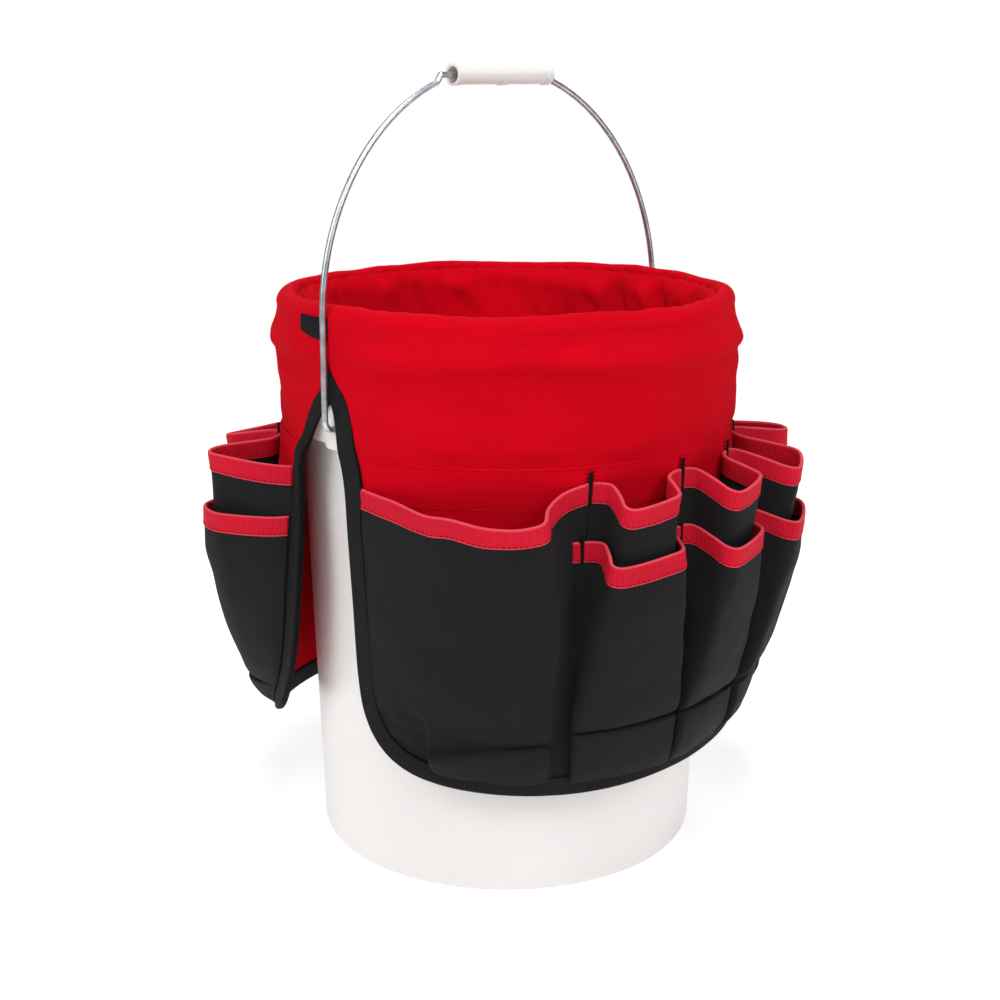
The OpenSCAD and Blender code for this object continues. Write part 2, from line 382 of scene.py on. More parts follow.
# ---- Materials ----
class Shader:
    """A node material under construction, with short ways to add and join nodes."""

    def __init__(self, name, **sockets):
        self.material = bpy.data.materials.new(name)
        self.material.use_nodes = True
        self.nodes = self.material.node_tree.nodes
        self.links = self.material.node_tree.links
        self.surface = self.nodes["Principled BSDF"]
        for socket, value in sockets.items():
            self.set(socket.replace("_", " "), value)

    def put(self, node, socket, value):
        if hasattr(value, "is_output"):
            self.links.new(value, node.inputs[socket])
        else:
            node.inputs[socket].default_value = value

    def add(self, kind, sockets, out=0, **settings):
        """Adds a node with its sockets filled, and returns one of its outputs."""
        node = self.nodes.new(kind)
        for key, value in settings.items():
            setattr(node, key, value)
        for socket, value in sockets.items():
            self.put(node, socket, value)
        return node.outputs[out]

    def math(self, operation, a, b=0.0, c=0.0):
        return self.add("ShaderNodeMath", {0: a, 1: b, 2: c}, operation=operation)

    def total(self, *terms, start=0.0):
        """The sum of values times their weights, given as pairs."""
        for value, weight in terms:
            start = self.math("MULTIPLY_ADD", value, weight, start)
        return start

    def mix(self, share, a, b):
        return self.add("ShaderNodeMix", {"Factor": share, 6: a, 7: b}, 2, data_type="RGBA")

    def between(self, value, low, high):
        """Maps value from low..high to 0..1."""
        return self.add("ShaderNodeMapRange", {"Value": value, "From Min": low, "From Max": high})

    def noise(self, where, scale, detail):
        return self.add("ShaderNodeTexNoise", {"Vector": where, "Scale": scale,
                                               "Detail": detail, "Roughness": 0.55}, "Fac")

    def uv(self):
        """Metres along the cloth's threads, as a vector and as two values."""
        where = self.add("ShaderNodeUVMap", {}, uv_map="cloth")
        split = self.add("ShaderNodeSeparateXYZ", {0: where}).node
        return where, split.outputs[0], split.outputs[1]

    def place(self):
        """The point on the object, in metres."""
        return self.add("ShaderNodeTexCoord", {}, "Object")

    def bump(self, height, distance):
        """Raises the surface by height times a distance in millimetres."""
        self.set("Normal", self.add("ShaderNodeBump", {"Height": height, "Distance": distance * MM,
                                                       "Strength": 1.0}))

    def set(self, socket, value):
        self.put(self.surface, socket, value)


def tint(colour, factor):
    """A colour made darker or lighter, with its alpha."""
    return tuple(min(1.0, c * factor) for c in colour[:3]) + (1.0,)


def woven(name, colour, contrast, relief, **sockets):
    """Plain-weave cloth: over and under threads, uneven yarns and soft patches of painted shade."""
    s = Shader(name, **sockets)
    where, u, v = s.uv()
    per_metre = 1 / (THREAD_PITCH * MM)
    warp, weft = (s.math("ABSOLUTE", s.math("SINE", s.math("MULTIPLY", way, math.pi * per_metre)))
                  for way in (u, v))
    over = s.add("ShaderNodeTexChecker", {"Vector": where, "Scale": per_metre}, "Fac")
    under = s.math("SUBTRACT", 1.0, over)
    height = s.math("ADD", s.math("MULTIPLY", warp, over), s.math("MULTIPLY", weft, under))
    yarn = s.noise(where, 900, 2.0)
    # patch: painted shade of soft folds, as broad darker and lighter patches spread at random
    patch = s.noise(s.place(), 9, 4.0)
    # each term is even about its own middle: 0.6, 0.5 and 0.5
    shade = s.total((height, contrast), (yarn, 2.2 * contrast), (patch, 0.35),
                    start=-(0.6 + 1.1) * contrast - 0.175)
    s.set("Base Color", s.mix(s.between(shade, -0.5, 0.5), tint(colour, 0.62), tint(colour, 1.38)))
    s.bump(s.total((yarn, 0.8), start=height), relief)
    return s.material


def ribbed(name, colour, edge_colour, shades=(0.55, 1.35), **sockets):
    """Grosgrain tape: ribs across, threads along it and a stitched line near its edges."""
    s = Shader(name, **sockets)
    where, u, v = s.uv()
    wave = s.math("SINE", s.math("MULTIPLY", u, 2 * math.pi / (RIB_PITCH * MM)))
    ribs = s.math("MULTIPLY_ADD", wave, 0.5, 0.5)
    threads = s.math("SINE", s.math("MULTIPLY", v, 2 * math.pi * THREADS_ACROSS))
    yarn = s.noise(where, 1400, 2.0)
    patch = s.noise(s.place(), 14, 3.0)
    shade = s.total((ribs, 0.46), (yarn, 0.3), (patch, 0.3))
    body = s.mix(s.between(shade, 0.2, 0.85), tint(colour, shades[0]), tint(colour, shades[1]))
    edge = s.math("ADD", s.between(v, 0.92, 0.97), s.between(v, 0.03, -0.03))
    s.set("Base Color", s.mix(s.math("MULTIPLY", edge, 0.75), body, edge_colour))
    s.bump(s.math("MULTIPLY_ADD", threads, 0.08, ribs), 0.4)
    return s.material


def plastic(name, colour, grain=0.02, **sockets):
    """Moulded plastic: faint mould texture, scuffs and uneven gloss."""
    s = Shader(name, **sockets)
    broad = s.noise(s.place(), 7, 4.0)
    s.set("Base Color", s.mix(s.between(broad, 0.3, 0.7), tint(colour, 0.965), tint(colour, 1.02)))
    s.set("Roughness", s.math("MULTIPLY_ADD", broad, 0.2, 0.26))
    s.bump(s.noise(s.place(), 700, 2.0), grain)
    return s.material


def zinc_wire(name):
    """Drawn galvanised wire: dull patches and a fine grain."""
    s = Shader(name, Metallic=1.0)
    spangle = s.noise(s.place(), 160, 4.0)
    s.set("Base Color", s.mix(s.between(spangle, 0.3, 0.7), (0.42, 0.45, 0.49, 1),
                              (0.66, 0.69, 0.73, 1)))
    s.set("Roughness", s.math("MULTIPLY_ADD", spangle, 0.3, 0.22))
    s.bump(s.noise(s.place(), 1500, 2.0), 0.03)
    return s.material


def thread(name, colour):
    """Twisted sewing thread."""
    s = Shader(name, Roughness=0.8, Specular_IOR_Level=0.05)
    strands = s.noise(s.place(), 2500, 2.0)
    s.set("Base Color", s.mix(strands, tint(colour, 0.6), tint(colour, 1.3)))
    s.bump(strands, 0.05)
    return s.material


RED = (0.58, 0.0008, 0.009, 1)
BLACK = (0.0085, 0.0085, 0.0092, 1)
WHITE = (1, 1, 1, 1)
RED_SHEEN = (0.9, 0.05, 0.08, 1)
red_cloth = woven("red_cloth", RED, contrast=0.12, relief=0.10,
                  Roughness=0.86, Sheen_Weight=0.1, Sheen_Tint=RED_SHEEN,
                  Specular_IOR_Level=0.03)
black_cloth = woven("black_cloth", BLACK, contrast=0.32, relief=0.12,
                    Roughness=0.8, Sheen_Weight=0.02, Specular_IOR_Level=0.14)
red_tape = ribbed("red_tape", (0.68, 0.008, 0.030, 1), (0.8, 0.1, 0.14, 1),
                  Roughness=0.65, Sheen_Weight=0.1, Sheen_Tint=RED_SHEEN,
                  Specular_IOR_Level=0.1)
black_tape = ribbed("black_tape", (0.0085, 0.0085, 0.009, 1), (0.0008, 0.0008, 0.0008, 1),
                    shades=(0.25, 2.3), Roughness=0.7, Specular_IOR_Level=0.1)
bucket_white = plastic("bucket_white", (0.80, 0.765, 0.755),
                       Subsurface_Weight=0.15, Subsurface_Scale=0.01)
grip_white = plastic("grip_white", (0.80, 0.79, 0.76), grain=0.03,
                     Subsurface_Weight=0.1, Subsurface_Scale=0.005)
zinc = zinc_wire("zinc")
red_thread = thread("red_thread", (0.36, 0.003, 0.012))
black_thread = thread("black_thread", (0.007, 0.007, 0.0075))


# ---- Aprons ----
def apron_radius(angle, z):
    """Where an apron's panel hangs: against the bucket's skirt, and away from it at the loose
    end. The angle is the front apron's."""
    loose = smooth((angle + 78) / 55) * smooth((318 - z) / 150)
    sway = 0.5 * np.sin(np.radians(angle * 5)) * smooth((250 - z) / 120)
    return PANEL_R + FLARE * loose + sway + edge_curl(angle, z)


def hanging_radius(angle, z):
    """Where the cloth lies, on the sleeve above the seam and on the apron below it."""
    up = smooth((z - SEAM_Z + 3) / 9)
    return up * uneven_sleeve_radius(angle, z) + (1 - up) * apron_radius(angle, z)


def flat_curve(points, gap):
    """A curve through (angle, height) points, sampled about gap millimetres apart."""
    flat = np.array(points, float)
    flat[:, 0] = np.radians(flat[:, 0]) * PANEL_R
    curve = through(flat, sample_counts(flat, gap))
    curve[:, 0] = np.degrees(curve[:, 0] / PANEL_R)
    return curve


def even(curve, count):
    """A curve's points, spread evenly along it."""
    scaled = curve * [math.radians(PANEL_R), 1]
    reach = lengths_along(scaled[None], 1)[0]
    at = np.linspace(0, reach[-1], count)
    return np.stack([np.interp(at, reach, curve[:, i]) for i in range(2)], axis=-1)


def cut_at(points, z):
    """The stretch of an outline below height z, with its first and last points at z."""
    below = np.flatnonzero(points[:, 1] < z)
    first, last = below[0], below[-1]

    def crossing(a, b):
        return [a + (b - a) * (z - a[1]) / (b[1] - a[1])]

    return np.concatenate([crossing(points[first - 1], points[first]), points[first : last + 1],
                           crossing(points[last], points[last + 1])])


def apron_patch(top, gap=4.0):
    """Grid of (angle, height) over an apron below the height top, fitted to its outline."""
    line = cut_at(flat_curve(OUTLINE, 3), top)
    near, far = (np.abs(line - OUTLINE[k]).sum(axis=1).argmin() for k in CORNERS)
    rows = int((top - 80) / gap)
    cols = int(math.radians(160) * PANEL_R / gap)
    left = even(line[: near + 1], rows)
    bottom = even(line[near : far + 1], cols)
    right = even(line[far:][::-1], rows)
    upper = np.stack([np.linspace(line[0, 0], line[-1, 0], cols), np.full(cols, top)], axis=-1)
    u = np.linspace(0, 1, cols)[None, :, None]
    v = np.linspace(0, 1, rows)[:, None, None]
    sides = left[:, None] * (1 - u) + right[:, None] * u
    ends = upper[None] * (1 - v) + bottom[None] * v
    corners = ((1 - v) * ((1 - u) * upper[0] + u * upper[-1])
               + v * ((1 - u) * bottom[0] + u * bottom[-1]))
    return sides + ends - corners


def apron_sheet(top, out=0.0):
    """Grid of points over an apron below the height top, standing out from it by out."""
    angle, z = np.moveaxis(apron_patch(top), -1, 0)
    return polar(angle, apron_radius(angle, z) + out, z)


def binding_strip():
    """The edge binding, from the point above the near slit round to the far slit's, and how
    thick it is along its length. Both ends are mitred where two bindings meet."""
    flat = flat_curve(OUTLINE, 2.5) * [math.radians(PANEL_R), 1]
    rise = np.linspace(0, 1, 11)[1:, None] * TIP_L
    flat = np.concatenate([flat[0] + rise[::-1] * [-0.6, 0.8], flat, flat[-1] + rise * [0.6, 0.8]])
    along = np.gradient(flat, axis=0)
    along /= np.linalg.norm(along, axis=1, keepdims=True)
    for _ in range(6):
        along[1:-1] = (along[:-2] + 2 * along[1:-1] + along[2:]) / 4
    along /= np.linalg.norm(along, axis=1, keepdims=True)
    inward = np.stack([-along[:, 1], along[:, 0]], axis=-1)
    # a wider tape beside the slit's narrow side, and an uneven one beside its loose side
    height = flat[:, 1]
    narrow = 0.2 * smooth((height - 245) / 25)
    loose = 0.14 * hump(height, 268, 14) - 0.15 * smooth((height - 284) / 10)
    wider = np.where(flat[:, 0] < math.radians(-90) * PANEL_R, narrow, loose)
    width = 1 + wider * (1 - smooth((height - 314) / 12))
    rows = []
    for depth in TAPE_DEPTHS:
        spot = flat + inward * (depth * width)[:, None]
        angle = np.clip(spot[:, 0] / math.radians(PANEL_R), -180.7, 0)
        z = spot[:, 1]
        low = 0.2 * smooth((150 - z) / 50)
        near_bail = 0.35 * smooth((z - 300) / 20)
        rows.append(polar(angle, hanging_radius(angle, z) + 0.45 + low - near_bail, z))
    # thinner above the pivot, where the bail swings over it
    return np.array(rows), 2.2 + 2.8 * smooth((302 - height) / 22)


# ---- Pockets ----
def tack_angle(i, z):
    """Angle of seam i between pockets; the seams lean a little."""
    lean = TACK_SLOPE * (1.0 if i == 1 else 0.6)
    if i == 5:
        return np.interp(z, [90, 126, 158, 190, 230, 262, 282],
                         [-34, -22, -17.4, -15.4, -15, -16.3, -17])
    return TACKS[i] - lean * (TALL_Z - np.asarray(z, float))


def pocket_ends(i, z, in_front):
    """Angles of a narrow pocket's two edges; the first low one starts on the wide pocket."""
    left = FIRST_LOW_EDGE if in_front and i == 1 else tack_angle(i, z)
    return left, tack_angle(i + 1, z)


def crisp(stations, corner):
    """Stations whose curve turns sharply at one point, which becomes two close to it."""
    out = []
    for row in np.array(stations, float):
        before = row[corner] + 0.16 * (row[corner - 1] - row[corner])
        after = row[corner] + 0.16 * (row[corner + 1] - row[corner])
        out.append(np.concatenate([row[:corner], [before, after], row[corner + 1:]]))
    return out


def loft(stations, places, column_gap=1.5, row_gap=2.2):
    """Grid through stations of (angle, radius, height) points, spread down by places."""
    stations = np.array(stations, float)
    rows = max(12, int((places[-1] - places[0]) / row_gap))
    at = np.unique(np.concatenate([np.linspace(places[0], places[-1], rows), places]))
    control = monotone(places, stations, at)
    points = polar(control[..., 0], control[..., 1], control[..., 2])
    counts = sample_counts(points[0], column_gap)
    return through(points, counts)


# The wide pocket at falling heights, from the binding round its swollen front to the first tack,
# with a sharp turn back to the panel at one corner
WIDE_CORNER = 7
WIDE_PLACES = [0, 34, 84, 129, 147, 160, 161.2, 175, 181]
WIDE_STATIONS = [
    [(-171.5, 152.7, 269.3), (-165.4, 157, 268.2), (-159.6, 161.5, 266.8), (-151.5, 170, 262.8),
     (-146, 176, 263.2), (-139, 183, 260.5), (-133, 185.5, 260.3), (-128.2, 184.6, 263),
     (-126.6, 169, 268.5), (-122.5, 157.5, 274), (-116, 153.4, 278)],
    [(-171.2, 152.7, 236), (-165.4, 157, 235.5), (-159, 161.5, 235), (-151, 169, 234),
     (-145, 174, 233.5), (-139, 179, 233), (-132.5, 181, 233), (-127, 180.1, 233),
     (-125.2, 168, 234), (-121, 156, 236), (-117, 153.4, 240)],
    [(-170.6, 152.7, 187), (-164.6, 157, 185), (-158.5, 161, 184), (-151.5, 166.5, 183),
     (-145, 170.5, 182.5), (-138.5, 173.5, 182), (-131, 174.5, 182), (-125.3, 173.6, 182),
     (-123.8, 165, 183), (-120.6, 156, 184), (-118.2, 153.4, 187)],
    [(-169.6, 152.7, 143), (-163.4, 156, 140), (-158.5, 158.5, 139), (-153.5, 161.5, 138),
     (-147, 164.5, 137.5), (-139, 166.5, 137), (-131, 166.5, 137), (-125.9, 165.6, 137),
     (-125, 160.5, 137), (-121.6, 155.5, 138), (-119.2, 153.4, 140)],
    [(-167.6, 152.7, 124), (-161, 154.6, 125), (-154.2, 155.6, 128), (-152.9, 159.8, 127),
     (-147, 161.2, 124), (-139, 162.4, 121), (-131, 162.4, 120), (-126.2, 162, 120),
     (-125.2, 157.5, 120), (-122.2, 154.6, 121), (-119.6, 153.4, 121)],
    [(-167, 152.7, 122.5), (-160, 153.8, 123), (-153.3, 154.4, 119), (-152.5, 158.4, 106.8),
     (-147, 158.4, 108.8), (-138.7, 158.9, 111.8), (-131, 158.9, 113), (-126.4, 158.5, 113.6),
     (-125.4, 156, 113), (-122.4, 154.2, 112), (-120, 153.4, 112)],
    [(-166.5, 152.7, 121), (-159.5, 153.4, 120), (-153.1, 154, 116), (-152.3, 161.4, 105.4),
     (-147, 161.8, 107.4), (-138.7, 162.2, 110.4), (-131, 162.2, 111.7), (-126.2, 161.8, 112.4),
     (-125.6, 156.6, 111.8), (-122.6, 154.2, 111), (-120, 153.4, 111)],
    [(-164, 152.6, 113), (-158, 153, 110), (-153.2, 153.4, 104), (-152.5, 158.2, 97.5),
     (-147.5, 157.8, 95), (-138.7, 157.8, 92), (-131, 157.6, 91), (-126.2, 157.2, 90),
     (-125.2, 155, 89.5), (-122.4, 153.8, 89), (-120, 153.3, 88.5)],
    [(-163, 152.9, 111), (-157.5, 152.9, 107), (-153.6, 153, 101), (-152.4, 154, 93),
     (-147.5, 154, 90), (-138.7, 154, 87), (-131, 154, 86), (-126.2, 153.6, 85.5),
     (-125.2, 153.8, 85), (-122.4, 153.4, 85), (-120, 153.2, 85)],
]

# A narrow pocket in plan as (share of the way to the next tack, share of its reach), at its
# mouth and at its foot
MOUTH_PLAN = [(0, 0), (0.1, 0.02), (0.185, 0.12), (0.195, 0.5), (0.18, 0.86), (0.225, 1),
              (0.55, 1), (0.65, 0.92), (0.71, 0.55), (0.765, 0.2), (0.87, 0.04), (1, 0)]
FOOT_PLAN = [(0, 0), (0.025, 0.1), (0.035, 0.55), (0.05, 0.93), (0.1, 1), (0.4, 1),
             (0.7, 1), (0.86, 1), (0.905, 0.93), (0.925, 0.5), (0.945, 0.1), (1, 0)]
# The first low pocket starts with a flat stub on the wide one
FIRST_PLAN = [(0, 0), (0.17, 0.02), (0.26, 0.12), (0.262, 0.5), (0.24, 0.86), (0.28, 1),
              (0.58, 1), (0.7, 0.94), (0.76, 0.6), (0.81, 0.24), (0.88, 0.05), (1, 0)]
# The last pocket runs straight from its tip back to the apron's loose edge
END_PLAN = [(0, 0), (0.12, 0.03), (0.19, 0.12), (0.215, 0.5), (0.23, 0.85), (0.3, 1),
            (0.42, 1), (0.52, 0.87), (0.64, 0.66), (0.77, 0.42), (0.89, 0.2), (1, 0.02)]
END_FOOT = [(0, 0), (0.03, 0.12), (0.05, 0.5), (0.09, 0.86), (0.17, 1), (0.32, 1),
            (0.46, 0.97), (0.6, 0.8), (0.72, 0.56), (0.83, 0.33), (0.92, 0.15), (1, 0.02)]
LOW_WIDER = 0.035
# Reach from the panel of pockets 1 to 4, at the mouth and at the foot's tuck
TALL_REACH = [0, 26, 34, 45, 45]
LOW_REACH = [0, 27.5, 36.5, 47, 47]
FOOT_REACH = [0, 9.5, 11, 15, 18]
# How much of the reach is left at falling heights, behind the low pockets and in front
TALL_FALL = [(278, 1), (262, 0.98), (240, 0.85), (205, 0.7), (165, 0.5), (130, 0.24), (80, 0.2)]
LOW_FALL = [(278, 1), (230, 0.985), (205, 0.9), (167, 0.68), (137, 0.42), (118, 0.22), (80, 0.2)]


def hem_z(angle):
    """Height of an apron's lower edge."""
    angles, heights = np.array(OUTLINE[CORNERS[0] - 1 : CORNERS[1] + 2]).T
    return float(np.interp(angle, angles, heights))


def narrow_station(i, z, reach, plan, in_front, dip=0.0):
    """One level of narrow pocket i; the mouth drops by dip where it stands out."""
    left, right = pocket_ends(i, z, in_front)
    lift = 1.4 if in_front else 0
    row = []
    for share, out in plan:
        if in_front:
            share += LOW_WIDER * smooth(out / 0.2) * (1 if share > 0.45 else -1) * (share < 0.95)
        angle = left + (right - left) * share
        sag = dip * out * (1.25 - 0.9 * share)
        if i == 4:
            slope = (0.65, 0.25) if in_front else (0.42, 0.6)
            sag = dip * (slope[0] * out + slope[1] * smooth((share - 0.4) / 0.6))
        radius = apron_radius(angle, z) + CLOTH_T + 0.15 + reach * out + lift * (1 - out)
        row.append((angle, radius, max(z - sag, hem_z(angle) + 3)))
    return row


def narrow_pocket(i, mouth_z, mouth_reach, in_front):
    """Grid of a narrow pocket; the low ones stand in front of the tall ones."""
    mouth_plan, foot_plan = (FIRST_PLAN if in_front and i == 1 else MOUTH_PLAN), FOOT_PLAN
    if i == 4:
        mouth_plan, foot_plan = END_PLAN, END_FOOT
    fall_line = LOW_FALL if in_front else TALL_FALL
    foot_reach = FOOT_REACH[i] if in_front else FOOT_REACH[i] - 3.5
    levels = [mouth_z, 215, 185, 155, 130] if mouth_z < 250 else [mouth_z, 240, 205, 165, 130]
    tuck_z = 121.0 if i < 4 else 112.0
    stations, places = [], []
    for z in levels:
        fall = np.interp(z, *zip(*fall_line[::-1]))
        change = np.clip((238 - z) / 108, 0, 1) ** 1.1
        plan = [(a[0] + (b[0] - a[0]) * change, a[1] + (b[1] - a[1]) * change)
                for a, b in zip(mouth_plan, foot_plan)]
        reach = foot_reach + (mouth_reach - foot_reach) * (fall - 0.2) / 0.8
        dip = (10 if in_front else 11) * smooth((z - 150) / (mouth_z - 150))
        stations.append(narrow_station(i, z, reach, plan, in_front, dip if z > 200 else 0))
        places.append(mouth_z - z)
    steps = [(tuck_z + 3, foot_reach + 0.4), (tuck_z + 0.6, foot_reach - 2.6),
             (tuck_z - 0.6, foot_reach + 0.9), (95, foot_reach * 0.62), (86, 1.2)]
    for z, reach in steps:
        stations.append(narrow_station(i, z, max(reach, 0.6), foot_plan, in_front))
        places.append(mouth_z - z)
    return loft(stations, places)


def crumple(grid, seed, depth=0.55):
    """Slight unevenness of hanging cloth, nothing at its edges."""
    rows, cols = grid.shape[:2]
    edge = np.minimum(np.arange(cols), np.arange(cols)[::-1]) / 6
    top = np.arange(rows)[:, None] / 5
    room = smooth(edge)[None] * smooth(top)
    n = normals_of(grid)
    bend = waves(grid, seed, 42, depth) + waves(grid, seed + 1, 18, 0.3 * depth)
    return grid + n * (bend * room)[..., None]


# ---- Sleeve and liner ----
def clear_of_bail(angle, width):
    """0 under the bail's legs and 1 away from them."""
    return 1 - hump(np.abs(np.abs(((angle + 90) % 360) - 180) - 90), 0, width)


def edge_curl(angle, z):
    """The loose end of an apron curls outwards beside the slit, below the swinging bail."""
    return CURL * smooth((angle + 17) / 9) * hump(z, 285, np.where(z > 285, 12, 24)) * (angle > -40)


# How far the sleeve stands out at falling heights: it leans out from a waist under the crest to
# a bulge over the bucket's ring, folds under it and hangs straight from there
SLEEVE_SHAPE = [(384, 1.0), (377, 1.9), (368.5, -0.2), (362, 0.7), (352.5, 4.3), (349.5, 4.8),
                (346.8, 3.5), (344.2, 1.0), (341, 0.2), (335, 0.5), (316, 0.9), (300, 0.3),
                (291, -0.75), (286, -0.8), (278, -0.8)]


def sleeve_radius(angle, z):
    """The sleeve outside the rim, with nothing of its bulge near the bail."""
    a = np.radians(angle)
    drift = 1.2 * np.sin(2 * a + 0.6) + 0.8 * np.sin(6 * a + 2) + 0.6 * np.sin(10 * a)
    heights, outs = np.array(SLEEVE_SHAPE[::-1]).T
    at = np.broadcast_arrays(z - drift * hump(z, 350, 30), angle)[0]
    out = monotone(heights, outs, np.clip(at, heights[0], heights[-1]).ravel()).reshape(at.shape)
    strength = 0.78 + 0.07 * np.sin(4 * a + 1) + 0.24 * hump(angle, -130, 48)
    return PANEL_R + 0.35 + clear_of_bail(angle, 9) * strength * out


def uneven_sleeve_radius(angle, z):
    """The sleeve's radius with its long soft wrinkles, none near the bail, seam or crest."""
    radius = sleeve_radius(angle, z)
    p = polar(angle, radius, z)
    fade = clear_of_bail(angle, 10) * smooth((z - 284) / 14) * smooth((380 - z) / 12)
    long_folds = waves(p, 5, 95, 0.5, stretch=(1, 1, 2.8))
    soft_folds = waves(p, 12, 64, 1.15, stretch=(1, 1, 1.1))
    short_folds = waves(p, 8, 34, 0.32, stretch=(1, 1, 1.9))
    folds = long_folds + soft_folds + short_folds
    return radius + folds * fade + edge_curl(angle, z)


def gather_wave(angle):
    """Uneven gathers round the rim: 0 on their ridges and 1 in between."""
    a = np.radians(angle)
    return 0.5 - 0.5 * np.sin(52 * a + 1.6 * np.sin(5 * a) + 1.1 * np.sin(13 * a))


def gather_lift(angle):
    """How far the gathers stand out at the crest."""
    return CREST_GATHER * (gather_wave(angle) - 0.6)


def crest_rows(angles, turn):
    """Rows over the rim, from the outside to the gathered inside."""
    rows = []
    a = np.radians(angles)
    start = uneven_sleeve_radius(angles, TURN_Z)
    ripple = 0.6 * np.sin(6 * a + 1) + 0.4 * np.sin(14 * a + 2 * np.sin(4 * a))
    for over in np.linspace(0, 180, 19)[1:]:
        t = math.radians(over)
        share = (1 - math.cos(t)) / 2
        lift = smooth((over - 85) / 50) * gather_lift(angles + turn)
        tucked = 1.3 * smooth((over - 158) / 22)
        radius = start + (CREST_IN_R - start) * share + lift * min(math.cos(t), 0) + tucked
        base = TURN_Z + 3.2 * share - 1.5 * smooth((over - 140) / 40)
        rows.append(polar(angles, radius, base + (6.3 + ripple + 0.3 * lift) * math.sin(t)))
    return rows


def sleeve_half(start, stop, turn):
    """Half of the sleeve between the slits' edges, as functions of height, with the crest. The
    half turned by turn degrees differs only in its gathers."""
    heights = np.concatenate([np.linspace(TURN_Z, SLIT_Z, 44),
                              np.linspace(SLIT_Z, SEAM_Z - 2, 20)[1:]])
    share = np.linspace(0, 1, 320)
    angles = start(CREST_Z) + (stop(CREST_Z) - start(CREST_Z)) * share
    rows = crest_rows(angles, turn)[::-1]
    for z in heights:
        angles = start(z) + (stop(z) - start(z)) * share
        rows.append(polar(angles, uneven_sleeve_radius(angles, z), z))
    return turned(np.array(rows), turn)


def slit_line(points):
    """Angle of a slit's edge at a height, from the outline's part beside that slit."""
    angle, z = np.array(sorted(points, key=lambda p: p[1])).T
    return lambda height: float(np.interp(height, z, angle))


narrow_edge = [p for p in OUTLINE if p[1] > 235 and p[0] < -90]
loose_edge = [p for p in OUTLINE if p[1] > 235 and p[0] > -90]


def liner_room(z):
    """The radius that the liner can fill inside the bucket, and under the crest above its rim."""
    wall = np.interp(z, [0, RIM_Z], [WALL_FOOT_R, WALL_TOP_R])
    above = 1.7 * smooth((z - RIM_Z + 1.5) / 4) + 3.4 * smooth((z - RIM_Z - 2) / 2.5)
    return wall - 1.1 + above


def liner_grids(columns=420):
    """The liner before it hangs, gathered at the rim with slanting folds below, and as it was
    cut: a tube."""
    angles = np.linspace(-180, 180, columns + 1)
    a = np.radians(angles)
    gathers = gather_wave(angles)
    top = polar(angles, CREST_IN_R - LINER_GATHER * gathers, 0.0)
    cut_r = np.linalg.norm(np.diff(top, axis=0), axis=1).sum() / (2 * np.pi)
    gathered, flat = [], []
    for height in np.arange(LINER_TOP_Z, LINER_Z, -LINER_ROW_GAP):
        depth = LINER_TOP_Z - height
        z = height + 0.04 * depth
        fine = 3.2 * (1 - 0.95 * smooth(depth / 18))
        slant = 13 * a + 1.8 * np.sin(2 * a + 1) + 1.2 * np.sin(5 * a) + depth / 15
        fold = 0.5 + 0.5 * np.sin(slant + 0.6 * np.sin(slant))
        fold *= 0.78 + 0.22 * np.sin(3 * a + depth / 45)
        hanging = liner_room(z) - 0.3 - fine * gathers - LINER_FOLD * smooth(depth / 15) * fold
        radius = CREST_IN_R + 0.6 - gather_lift(angles)
        radius = np.minimum(radius + (hanging - radius) * smooth(depth / 8), liner_room(z))
        gathered.append(polar(angles, radius, z))
        flat.append(polar(angles, cut_r, height))
    return np.array(gathered), np.array(flat)


def hang_liner():
    """The liner after cloth simulation, held by its two hems and kept inside the bucket."""
    gathered, flat = liner_grids()
    ring = gathered[:, :-1]
    rows, cols = ring.shape[:2]
    k = np.arange(rows * cols).reshape(rows, cols)
    quads = grid_quads(np.concatenate([k, k[:, :1]], axis=1))
    mesh = bpy.data.meshes.new("hanging")
    mesh.from_pydata((ring.reshape(-1, 3) * MM).tolist(), [], quads.tolist())
    piece = bpy.data.objects.new("hanging", mesh)
    scene = bpy.context.scene
    scene.collection.objects.link(piece)
    piece.shape_key_add(name="gathered")
    cut = piece.shape_key_add(name="cut")
    cut.data.foreach_set("co", (flat[:, :-1].reshape(-1) * MM).tolist())
    held = piece.vertex_groups.new(name="held")
    held.add(k[:2].ravel().tolist() + k[-1].tolist(), 1.0, "REPLACE")
    cloth = piece.modifiers.new("hang", "CLOTH")
    for setting, value in {
        "rest_shape_key": cut, "vertex_group_mass": "held", "quality": 6, "mass": 0.1,
        "tension_stiffness": 25, "compression_stiffness": 25, "shear_stiffness": 8,
        "bending_stiffness": LINER_BEND, "air_damping": 3,
    }.items():
        setattr(cloth.settings, setting, value)
    cloth.collision_settings.use_collision = False
    cloth.point_cache.frame_start = 1
    cloth.point_cache.frame_end = LINER_FRAMES
    for frame_number in range(1, LINER_FRAMES + 1):
        scene.frame_set(frame_number)
    shape = piece.evaluated_get(bpy.context.evaluated_depsgraph_get()).to_mesh()
    spots = np.empty(rows * cols * 3)
    shape.vertices.foreach_get("co", spots)
    ring = spots.reshape(rows, cols, 3) / MM
    bpy.data.objects.remove(piece)
    scene.frame_set(1)
    radius = np.linalg.norm(ring[..., :2], axis=-1)
    room = liner_room(ring[..., 2])
    ring[..., :2] *= (np.minimum(radius, room) / radius)[..., None]
    return np.concatenate([ring, ring[:, :1]], axis=1)


